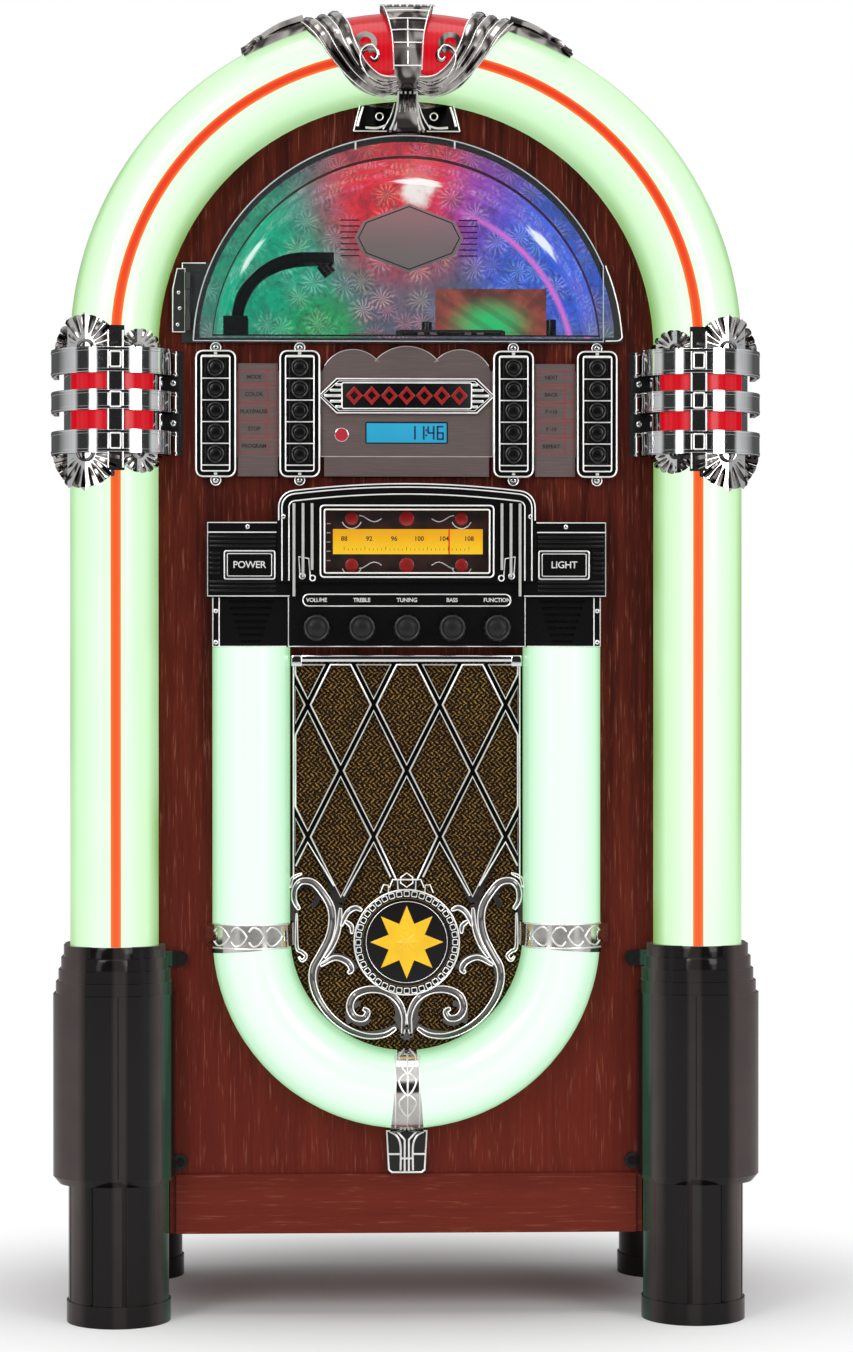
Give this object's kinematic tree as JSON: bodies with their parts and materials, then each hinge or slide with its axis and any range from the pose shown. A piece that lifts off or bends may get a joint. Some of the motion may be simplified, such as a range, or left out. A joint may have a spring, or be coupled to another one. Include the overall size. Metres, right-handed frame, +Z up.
{
  "type": "cd jukebox",
  "caption": "Tabletop jukebox with a disc player under a clear dome, lit tubes round an arched cabinet, a radio and a speaker grille.",
  "frame": {"origin": "on the floor under the middle of the bounding box", "axes": "+Z up, -Y is the front with the dome and the grille, +X to the right as seen from the front"},
  "size_m": [0.568, 0.29, 1.0505],
  "materials": {
    "wood": "satin varnish",
    "board": "matte",
    "tube_plastic": "translucent, lit from inside",
    "red_plastic": "translucent, lit from inside",
    "clear_plastic": "clear",
    "chrome": "mirror",
    "steel": "plain",
    "black_plastic": "high gloss",
    "black_trim": "gloss",
    "bay_plastic": "satin",
    "arm_plastic": "gloss",
    "key_plastic": "gloss",
    "knob_plastic": "gloss",
    "grey_plate": "satin",
    "display": "lit",
    "dial": "lit",
    "cloth": "woven",
    "star": "gloss",
    "speaker": "matte",
    "electronics": "matte",
    "terminal": "matte"
  },
  "bodies": {
    "root": {"front_panel": "wood", "cabinet_shell": "wood", "back_panel": "board", "plinth": "wood", "light_tubes": "tube_plastic", "red_strips": "red_plastic", "column_sleeves": "black_plastic", "legs": "black_plastic", "side_clamps": "chrome", "red_lenses": "red_plastic", "crown": "chrome", "door_frame": "black_trim", "disc_bay": "bay_plastic", "disc_deck": "bay_plastic", "control_plate": "grey_plate", "key_bezels": "black_trim", "display_windows": "display", "radio_bezel": "black_trim", "dial_scale": "dial", "grille_frame": "chrome", "grille_cloth": "cloth", "medallion": "star", "tube_clips": "chrome", "speakers": "speaker", "amplifier_board": "electronics", "rear_terminals": "terminal", "sleeve_screws": "steel"},
    "dome_door": {"dome_door": "clear_plastic"},
    "disc_arm": {"disc_arm": "arm_plastic"},
    "disc_hub": {"disc_hub": "arm_plastic"},
    "dial_pointer": {"dial_pointer": "red_plastic"},
    "power_button": {"power_button": "black_trim"},
    "light_button": {"light_button": "black_trim"},
    "volume_knob": {"volume_knob": "knob_plastic"},
    "treble_knob": {"treble_knob": "knob_plastic"},
    "tuning_knob": {"tuning_knob": "knob_plastic"},
    "bass_knob": {"bass_knob": "knob_plastic"},
    "selector_knob": {"selector_knob": "knob_plastic"},
    "key_1_1": {"key_1_1": "key_plastic"},
    "key_1_2": {"key_1_2": "key_plastic"},
    "key_1_3": {"key_1_3": "key_plastic"},
    "key_1_4": {"key_1_4": "key_plastic"},
    "key_1_5": {"key_1_5": "key_plastic"},
    "key_2_1": {"key_2_1": "key_plastic"},
    "key_2_2": {"key_2_2": "key_plastic"},
    "key_2_3": {"key_2_3": "key_plastic"},
    "key_2_4": {"key_2_4": "key_plastic"},
    "key_2_5": {"key_2_5": "key_plastic"},
    "key_3_1": {"key_3_1": "key_plastic"},
    "key_3_2": {"key_3_2": "key_plastic"},
    "key_3_3": {"key_3_3": "key_plastic"},
    "key_3_4": {"key_3_4": "key_plastic"},
    "key_3_5": {"key_3_5": "key_plastic"},
    "key_4_1": {"key_4_1": "key_plastic"},
    "key_4_2": {"key_4_2": "key_plastic"},
    "key_4_3": {"key_4_3": "key_plastic"},
    "key_4_4": {"key_4_4": "key_plastic"},
    "key_4_5": {"key_4_5": "key_plastic"}
  },
  "joints": [
    {"name": "dome_door", "type": "hinge", "parent": "root", "child": "dome_door", "pos_m": [-0.1745, -0.1045, 0.81], "axis": [0, 0, -1], "range_deg": [0, 100]},
    {"name": "disc_arm", "type": "hinge", "parent": "root", "child": "disc_arm", "pos_m": [-0.138, -0.01, 0.803], "axis": [0, 1, 0], "range_deg": [0, 38]},
    {"name": "disc_hub", "type": "hinge", "parent": "root", "child": "disc_hub", "pos_m": [-0.051, -0.01, 0.785], "axis": [0, 0, 1], "continuous": true},
    {"name": "volume_knob", "type": "hinge", "parent": "root", "child": "volume_knob", "pos_m": [-0.072, -0.11, 0.5523], "axis": [0, 1, 0], "range_deg": [0, 300]},
    {"name": "treble_knob", "type": "hinge", "parent": "root", "child": "treble_knob", "pos_m": [-0.036, -0.11, 0.5523], "axis": [0, 1, 0], "range_deg": [-140, 140]},
    {"name": "tuning_knob", "type": "hinge", "parent": "root", "child": "tuning_knob", "pos_m": [0, -0.11, 0.5523], "axis": [0, 1, 0], "range_deg": [-450, 110]},
    {"name": "bass_knob", "type": "hinge", "parent": "root", "child": "bass_knob", "pos_m": [0.036, -0.11, 0.5523], "axis": [0, 1, 0], "range_deg": [-140, 140]},
    {"name": "selector_knob", "type": "hinge", "parent": "root", "child": "selector_knob", "pos_m": [0.072, -0.11, 0.5523], "axis": [0, 1, 0], "range_deg": [0, 90]},
    {"name": "dial_pointer", "type": "slide", "parent": "root", "child": "dial_pointer", "axis": [1, 0, 0], "range_m": [-0.09, 0.022]},
    {"name": "power_button", "type": "slide", "parent": "root", "child": "power_button", "axis": [0, 1, 0], "range_m": [0, 0.002], "stiffness_N_per_m": 400},
    {"name": "light_button", "type": "slide", "parent": "root", "child": "light_button", "axis": [0, 1, 0], "range_m": [0, 0.002], "stiffness_N_per_m": 400},
    {"name": "key_1_1", "type": "slide", "parent": "root", "child": "key_1_1", "axis": [0, 1, 0], "range_m": [0, 0.0015], "stiffness_N_per_m": 300},
    {"name": "key_1_2", "type": "slide", "parent": "root", "child": "key_1_2", "axis": [0, 1, 0], "range_m": [0, 0.0015], "stiffness_N_per_m": 300},
    {"name": "key_1_3", "type": "slide", "parent": "root", "child": "key_1_3", "axis": [0, 1, 0], "range_m": [0, 0.0015], "stiffness_N_per_m": 300},
    {"name": "key_1_4", "type": "slide", "parent": "root", "child": "key_1_4", "axis": [0, 1, 0], "range_m": [0, 0.0015], "stiffness_N_per_m": 300},
    {"name": "key_1_5", "type": "slide", "parent": "root", "child": "key_1_5", "axis": [0, 1, 0], "range_m": [0, 0.0015], "stiffness_N_per_m": 300},
    {"name": "key_2_1", "type": "slide", "parent": "root", "child": "key_2_1", "axis": [0, 1, 0], "range_m": [0, 0.0015], "stiffness_N_per_m": 300},
    {"name": "key_2_2", "type": "slide", "parent": "root", "child": "key_2_2", "axis": [0, 1, 0], "range_m": [0, 0.0015], "stiffness_N_per_m": 300},
    {"name": "key_2_3", "type": "slide", "parent": "root", "child": "key_2_3", "axis": [0, 1, 0], "range_m": [0, 0.0015], "stiffness_N_per_m": 300},
    {"name": "key_2_4", "type": "slide", "parent": "root", "child": "key_2_4", "axis": [0, 1, 0], "range_m": [0, 0.0015], "stiffness_N_per_m": 300},
    {"name": "key_2_5", "type": "slide", "parent": "root", "child": "key_2_5", "axis": [0, 1, 0], "range_m": [0, 0.0015], "stiffness_N_per_m": 300},
    {"name": "key_3_1", "type": "slide", "parent": "root", "child": "key_3_1", "axis": [0, 1, 0], "range_m": [0, 0.0015], "stiffness_N_per_m": 300},
    {"name": "key_3_2", "type": "slide", "parent": "root", "child": "key_3_2", "axis": [0, 1, 0], "range_m": [0, 0.0015], "stiffness_N_per_m": 300},
    {"name": "key_3_3", "type": "slide", "parent": "root", "child": "key_3_3", "axis": [0, 1, 0], "range_m": [0, 0.0015], "stiffness_N_per_m": 300},
    {"name": "key_3_4", "type": "slide", "parent": "root", "child": "key_3_4", "axis": [0, 1, 0], "range_m": [0, 0.0015], "stiffness_N_per_m": 300},
    {"name": "key_3_5", "type": "slide", "parent": "root", "child": "key_3_5", "axis": [0, 1, 0], "range_m": [0, 0.0015], "stiffness_N_per_m": 300},
    {"name": "key_4_1", "type": "slide", "parent": "root", "child": "key_4_1", "axis": [0, 1, 0], "range_m": [0, 0.0015], "stiffness_N_per_m": 300},
    {"name": "key_4_2", "type": "slide", "parent": "root", "child": "key_4_2", "axis": [0, 1, 0], "range_m": [0, 0.0015], "stiffness_N_per_m": 300},
    {"name": "key_4_3", "type": "slide", "parent": "root", "child": "key_4_3", "axis": [0, 1, 0], "range_m": [0, 0.0015], "stiffness_N_per_m": 300},
    {"name": "key_4_4", "type": "slide", "parent": "root", "child": "key_4_4", "axis": [0, 1, 0], "range_m": [0, 0.0015], "stiffness_N_per_m": 300},
    {"name": "key_4_5", "type": "slide", "parent": "root", "child": "key_4_5", "axis": [0, 1, 0], "range_m": [0, 0.0015], "stiffness_N_per_m": 300}
  ],
  "couplings": [
    {"joint": "dial_pointer", "follows": "tuning_knob", "m_per_rad": 0.01145}
  ]
}
